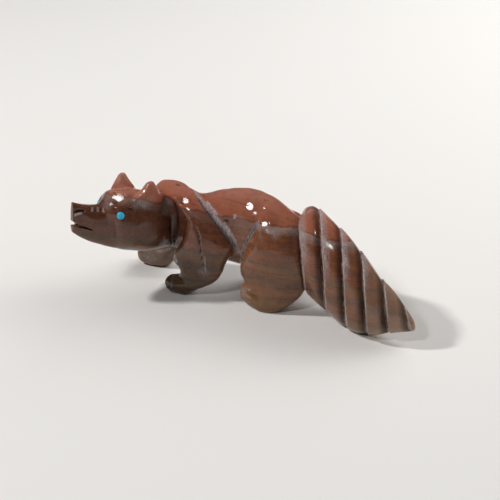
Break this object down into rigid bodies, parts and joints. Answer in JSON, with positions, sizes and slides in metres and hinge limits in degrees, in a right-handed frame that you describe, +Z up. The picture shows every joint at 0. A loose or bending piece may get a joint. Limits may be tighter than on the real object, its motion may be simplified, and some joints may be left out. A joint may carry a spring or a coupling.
{
  "type": "carved stone animal figure",
  "caption": "Small polished stone fox, walking with raised nose and turned head, inlaid round eyes and a thick fluted tail that rests on the ground.",
  "frame": {"origin": "centre of the outline's box, on the ground plane that the feet stand on", "axes": "+Z up, the tail toward +X, the head toward -X, the side that the head turns to toward -Y"},
  "size_m": [0.082, 0.0282, 0.0278],
  "materials": {
    "stone": "polished",
    "turquoise": "polished"
  },
  "bodies": {
    "root": {"carving": "stone", "eye_left": "turquoise", "eye_right": "turquoise"}
  },
  "joints": []
}
